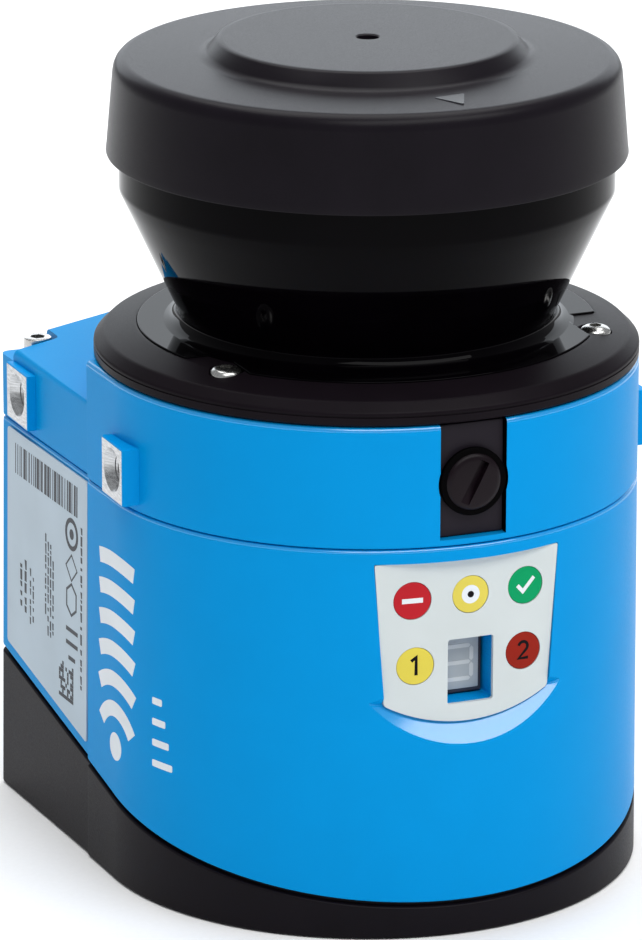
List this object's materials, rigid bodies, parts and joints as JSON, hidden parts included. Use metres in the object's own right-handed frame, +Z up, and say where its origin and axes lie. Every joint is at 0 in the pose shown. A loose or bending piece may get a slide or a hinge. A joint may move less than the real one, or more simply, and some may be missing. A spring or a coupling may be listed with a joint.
{
  "type": "lidar scanner module",
  "caption": "Compact 2-D lidar scanner: round-fronted housing on a slanted base, conical dark window under an overhanging cap, status panel, side mounting pads and spinning mirror.",
  "frame": {"origin": "centre of the round front's axis, which is the mirror's spin axis, on the flat underside", "axes": "+Z up along the spin axis, -Y towards the status panel at the front, +Y towards the connector side, +X to the right seen from the front"},
  "size_m": [0.102, 0.106, 0.1519],
  "materials": {
    "housing_blue": "satin",
    "base_black": "matte",
    "satin_black": "satin",
    "window_black": "polished",
    "seal_rubber": "matte",
    "screw_steel": "bright",
    "cast_aluminium": "machined",
    "laser_brass": "machined",
    "panel_grey": "satin",
    "port_grey": "textured",
    "label_silver": "printed foil",
    "board_green": "solder mask",
    "lens_glass": "polished",
    "mirror_silver": "front surface",
    "motor_copper": "enamelled winding",
    "flex_amber": "polyimide",
    "display_grey": "satin",
    "lamp_red": "translucent",
    "lamp_yellow": "translucent",
    "lamp_green": "translucent",
    "lamp_amber": "translucent",
    "lamp_brown": "translucent"
  },
  "bodies": {
    "root": {"lower_housing": "housing_blue", "upper_housing": "housing_blue", "base_shell": "base_black", "carrier_ring": "satin_black", "top_cap": "satin_black", "system_socket": "satin_black", "encoder_sensor": "satin_black", "optics_window": "window_black", "base_gasket": "seal_rubber", "housing_gasket": "seal_rubber", "ring_gasket": "seal_rubber", "cap_seal": "seal_rubber", "socket_seal": "seal_rubber", "base_screw_front_left": "screw_steel", "base_screw_front_right": "screw_steel", "base_screw_rear_left": "screw_steel", "base_screw_rear_right": "screw_steel", "cover_screw_left": "screw_steel", "cover_screw_right": "screw_steel", "cover_screw_rear": "screw_steel", "deck_screw_left": "screw_steel", "deck_screw_right": "screw_steel", "photodiode": "screw_steel", "upper_bearing_outer": "screw_steel", "lower_bearing_outer": "screw_steel", "optics_block": "cast_aluminium", "motor_bracket": "cast_aluminium", "laser_module": "laser_brass", "config_socket": "laser_brass", "board_standoff_1": "laser_brass", "board_standoff_2": "laser_brass", "board_standoff_3": "laser_brass", "board_standoff_4": "laser_brass", "status_panel": "panel_grey", "port_plate": "port_grey", "rating_label": "label_silver", "power_board": "board_green", "main_board": "board_green", "display_board": "board_green", "receiver_board": "board_green", "receiver_lens": "lens_glass", "collimator_lens": "lens_glass", "motor_stator": "motor_copper", "motor_flex": "flex_amber", "display_module": "display_grey", "lamp_stop": "lamp_red", "lamp_warning": "lamp_yellow", "lamp_ok": "lamp_green", "lamp_output_1": "lamp_amber", "lamp_output_2": "lamp_brown"},
    "rotor": {"motor_rotor": "screw_steel", "rotor_shaft": "screw_steel", "mirror_carrier": "cast_aluminium", "scan_mirror": "mirror_silver", "encoder_disc": "screw_steel", "upper_bearing_inner": "screw_steel", "lower_bearing_inner": "screw_steel"},
    "plug_ring": {"plug_seal": "seal_rubber"},
    "plug": {"plug_cap": "satin_black"}
  },
  "joints": [
    {"name": "mirror_spin", "type": "hinge", "parent": "root", "child": "rotor", "pos_m": [0, 0, 0.116], "axis": [0, 0, 1], "continuous": true},
    {"name": "plug_travel", "type": "slide", "parent": "root", "child": "plug_ring", "axis": [0, -1, 0], "range_m": [0, 0.005]},
    {"name": "plug_turn", "type": "hinge", "parent": "plug_ring", "child": "plug", "pos_m": [0, -0.048, 0.0834], "axis": [0, -1, 0], "range_deg": [0, 1800]}
  ],
  "couplings": [
    {"joint": "plug_turn", "follows": "plug_travel", "rad_per_m": 6283.2}
  ]
}
